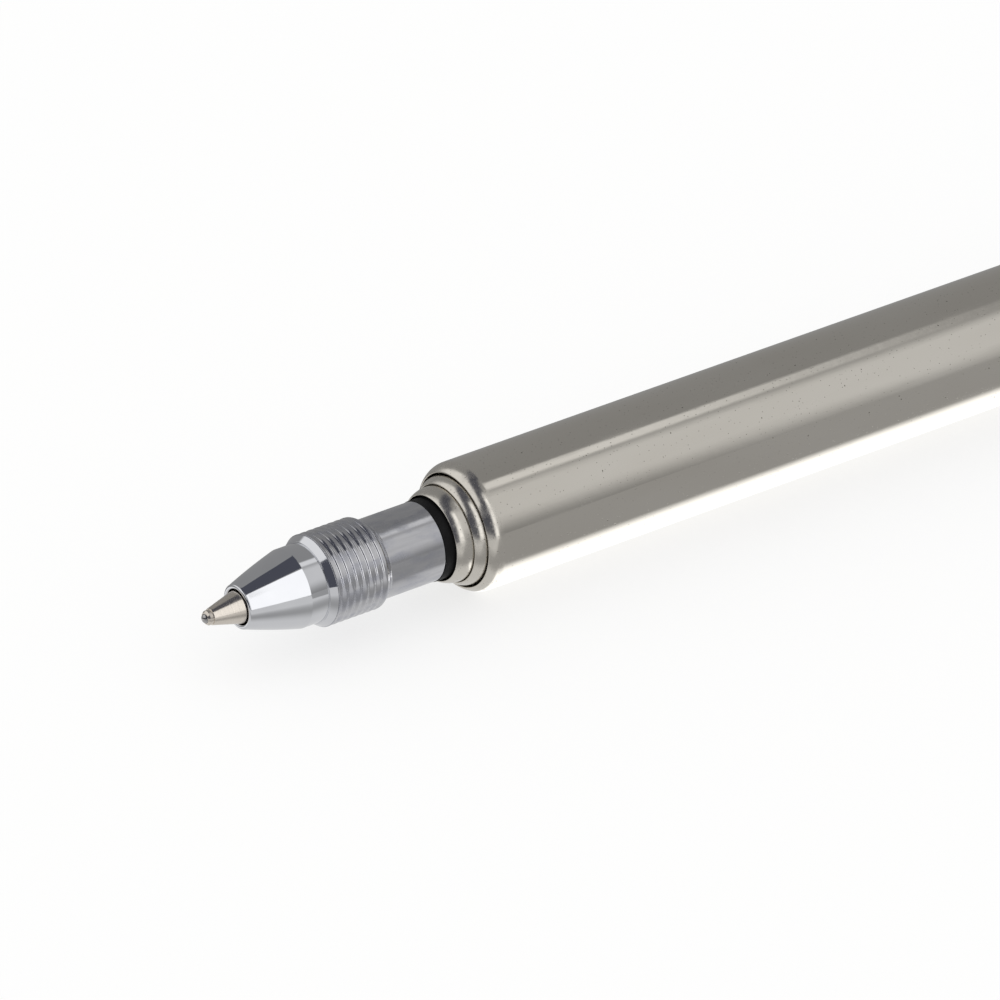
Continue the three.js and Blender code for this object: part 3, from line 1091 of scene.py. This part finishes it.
# Where the front fill hangs, in the same way. It reaches lower towards the tail.
FRONT_FILL = (
    (-0.1, 4, 92),
    (0.18, 4, 92),
    (0.24, 4, 108),
    (TUNNEL_TAIL, 4, 108),
)

# Cards lie on the floor, with ends in X and sides in Y. Lit paper runs under the barrel and fades
# towards its tail, and grey cards lie in front of the pen, behind it and ahead of the paper. The
# grey card in front of the pen is painted shade for the unlit floor there. The one ahead of the
# paper is painted shade for the shaded paper under the point, and the point shade is painted shade
# on it.
CARD_GAP = 0.0001
PAPER_POINT_END = -0.1128
PAPER_TAIL_END = 0.0
PAPER_REAR_SIDE = 0.004
PAPER_FRONT_SIDE = -0.02
PAPER_FADE_SHARE = 0.6
FRONT_CARD_END = -0.116
FRONT_CARD_SIDE = -0.0047
FRONT_CARD_FADE = 0.0021
POINT_SHADE_SIDES = (-0.003, -0.016)
REAR_CARD_SIDE = 0.010


def only_in_reflections(thing):
    thing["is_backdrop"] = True
    thing.visible_camera = False
    thing.visible_diffuse = False
    thing.visible_shadow = False
    thing.visible_transmission = False


def glow(name, colour, strength, soft_along=(0, 0), soft_around=(0, 0)):
    """An even light that fades towards a panel's edges, each by a share of the panel's size."""
    material, tree = new_material(name)
    material.cycles.emission_sampling = "NONE"
    light = add(tree, "ShaderNodeEmission", {"Color": linear(colour), "Strength": strength})
    clear = add(tree, "ShaderNodeBsdfTransparent")
    place = add(tree, "ShaderNodeUVMap")
    split = add(tree, "ShaderNodeSeparateXYZ", {0: place.outputs[0]})
    cover = None
    for axis, softness in (("X", soft_along), ("Y", soft_around)):
        near, far = softness
        for edge, inside in ((0, near), (1, 1 - far)):
            if edge == inside:
                continue
            share = spread(tree, split.outputs[axis], edge, inside)
            cover = share if cover is None else calculate(tree, "MULTIPLY", cover, share)
    if cover is None:
        add(tree, "ShaderNodeOutputMaterial", {"Surface": light.outputs[0]})
        return material
    mixed = add(tree, "ShaderNodeMixShader", {0: cover, 1: clear.outputs[0], 2: light.outputs[0]})
    add(tree, "ShaderNodeOutputMaterial", {"Surface": mixed.outputs[0]})
    return material


def stage_sheet(name, rows, material):
    """A sheet through rows of points. Its map runs from 0 to 1 along a row, and up the rows."""
    data = bpy.data.meshes.new(name)
    width = len(rows[0])
    faces = [
        (j * width + i, j * width + i + 1, (j + 1) * width + i + 1, (j + 1) * width + i)
        for j in range(len(rows) - 1) for i in range(width - 1)
    ]
    data.from_pydata([point for row in rows for point in row], [], faces)
    layer = data.uv_layers.new(name="UVMap")
    for loop in data.loops:
        row, column = divmod(loop.vertex_index, width)
        layer.data[loop.index].uv = (column / (width - 1), row / (len(rows) - 1))
    data.materials.append(material)
    only_in_reflections(put_in_scene(name, data))


def level_edges(first, last, upper, lower):
    """The edges of a panel of one height, from its first X to its last."""
    return (first, upper, lower), (last, upper, lower)


def tunnel_panel(name, layer, edges, material):
    """A curved panel, from its (X, upper edge, lower edge) at two or more places along the tunnel.
    A higher layer lies nearer the pen, and so in front of the lower ones."""
    radius = TUNNEL_RADIUS - layer * LAYER_DEPTH
    steps = round(max(lower - upper for _, upper, lower in edges) / PANEL_STEP)
    rows = []
    for step in range(steps + 1):
        row = []
        for x, upper, lower in edges:
            angle = math.radians(upper + (lower - upper) * step / steps)
            row.append((x, -radius * math.sin(angle), radius * math.cos(angle)))
        rows.append(row)
    stage_sheet(name, rows, material)


def make_tunnel():
    tunnel_panel(
        "grey_tunnel", layer=0,
        edges=level_edges(TUNNEL_POINT, TUNNEL_TAIL, -TUNNEL_FOOT, TUNNEL_FOOT),
        material=glow("grey_cloth", WHITE, strength=0.31),
    )
    tunnel_panel("front_fill", layer=1, edges=FRONT_FILL, material=glow(
        "front_fill_light", WHITE, strength=0.72, soft_along=(0.1, 0), soft_around=(0.24, 0.42),
    ))
    top_strip = level_edges(first=0.1, last=0.26, upper=-7, lower=14)
    tunnel_panel("top_strip", layer=2, edges=top_strip, material=glow(
        "top_strip_light", WHITE, strength=0.88, soft_along=(0.2, 0.5), soft_around=(0.3, 0.35),
    ))
    key_softbox = level_edges(first=-0.26, last=-0.06, upper=17, lower=96)
    tunnel_panel("key_softbox", layer=3, edges=key_softbox, material=glow(
        "key_softbox_light", WHITE, strength=1.35, soft_along=(0.05, 0.15), soft_around=(0.02, 0.1),
    ))
    point_top = level_edges(first=-1.1, last=-0.15, upper=-90, lower=45)
    tunnel_panel("point_top_light", layer=3, edges=point_top, material=glow(
        "point_top_glow", WHITE, strength=0.95, soft_along=(0.2, 0.04), soft_around=(0.2, 0.1),
    ))
    tunnel_panel("black_cloth", layer=4, edges=BLACK_CLOTH, material=glow(
        "black_cloth", "#62646f", strength=0.7, soft_along=(0.02, 0), soft_around=(0.02, 0),
    ))


def floor_card(name, height, ends, sides, material):
    """A flat card between two ends in X and two sides in Y."""
    stage_sheet(name, [[(x, y, height) for x in ends] for y in sides], material)


def make_floor_cards():
    """Cards in two layers. The front card and the shade at the point lie over the others."""
    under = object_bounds()[0].z + CARD_GAP
    over = under + CARD_GAP
    front_card_width = TUNNEL_RADIUS + FRONT_CARD_SIDE
    # Painted shade: a grey card for the unlit floor in front of the pen, seen only in reflections.
    floor_card(
        "front_card", over, (FRONT_CARD_END, TUNNEL_TAIL), (FRONT_CARD_SIDE, -TUNNEL_RADIUS),
        glow(
            "unlit_front_floor_shade", WHITE, strength=0.4,
            soft_around=(FRONT_CARD_FADE / front_card_width, 0),
        ),
    )
    floor_card(
        "lit_paper", under, (PAPER_POINT_END, PAPER_TAIL_END), (PAPER_REAR_SIDE, PAPER_FRONT_SIDE),
        glow("lit_paper_surface", WHITE, strength=1.75, soft_along=(0, PAPER_FADE_SHARE)),
    )
    # Painted shade: a paler grey card for the shaded paper under the point, seen only in
    # reflections.
    floor_card(
        "point_card", under, (TUNNEL_POINT, PAPER_POINT_END), (PAPER_REAR_SIDE, -TUNNEL_RADIUS),
        glow("shaded_point_paper", WHITE, strength=0.72),
    )
    floor_card(
        "rear_card", under, (TUNNEL_POINT, TUNNEL_TAIL), (REAR_CARD_SIDE, TUNNEL_RADIUS),
        glow("rear_card_surface", WHITE, strength=0.31),
    )
    floor_card(
        "point_shade", over, (TUNNEL_POINT, FRONT_CARD_END), POINT_SHADE_SIDES,
        glow("point_shade_grey", WHITE, strength=0.4, soft_around=(0.3, 0.7)),
    )


def make_end_walls():
    """The tunnel's ends: a grey wall behind the tail and a dark one ahead of the point."""
    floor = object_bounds()[0].z
    sides = (-TUNNEL_RADIUS, TUNNEL_RADIUS)
    for name, x, strength in (("tail_wall", TUNNEL_TAIL, 0.8), ("point_wall", TUNNEL_POINT, 0.08)):
        rows = [[(x, y, z) for y in sides] for z in (floor, TUNNEL_RADIUS)]
        stage_sheet(name, rows, glow(name + "_cloth", WHITE, strength))


def white_background():
    world = bpy.data.worlds.new("white_background")
    bpy.context.scene.world = world
    world.use_nodes = True
    tree = world.node_tree
    tree.nodes.clear()
    white = add(tree, "ShaderNodeBackground", {"Color": linear(WHITE), "Strength": 1.0})
    add(tree, "ShaderNodeOutputWorld", {"Surface": white.outputs[0]})


def seen_as_white(tree):
    """1 for rays from the camera, a reflection or glass, and 0 for the rest."""
    path = add(tree, "ShaderNodeLightPath")
    both = calculate(
        tree, "MAXIMUM", path.outputs["Is Camera Ray"], path.outputs["Is Glossy Ray"]
    )
    return calculate(tree, "MAXIMUM", both, path.outputs["Is Transmission Ray"])


def floor_material():
    """A share of the floor is plain white to the camera and in reflections. The rest takes light
    and the pen's shadow."""
    material, tree = new_material("white_floor")
    lit = add(tree, "ShaderNodeBsdfDiffuse", {"Color": linear("#fcfcfb")})
    white = add(tree, "ShaderNodeEmission", {"Color": linear(WHITE), "Strength": 1.0})
    share = calculate(tree, "MULTIPLY", seen_as_white(tree), FLOOR_WHITE_SHARE)
    mixed = add(tree, "ShaderNodeMixShader", {0: share, 1: lit.outputs[0], 2: white.outputs[0]})
    add(tree, "ShaderNodeOutputMaterial", {"Surface": mixed.outputs[0]})
    return material


def make_floor():
    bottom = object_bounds()[0].z
    mesh = bmesh.new()
    bmesh.ops.create_circle(mesh, cap_ends=True, radius=FLOOR_RADIUS, segments=FLOOR_SIDES)
    data = bpy.data.meshes.new("floor")
    mesh.to_mesh(data)
    mesh.free()
    data.materials.append(floor_material())
    floor = put_in_scene("floor", data)
    floor.location = (0, 0, bottom)
    floor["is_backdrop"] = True


make_camera()
make_pen()
white_background()
make_floor()
make_tunnel()
make_end_walls()
make_floor_cards()

bpy.context.scene.view_settings.view_transform = "Standard"
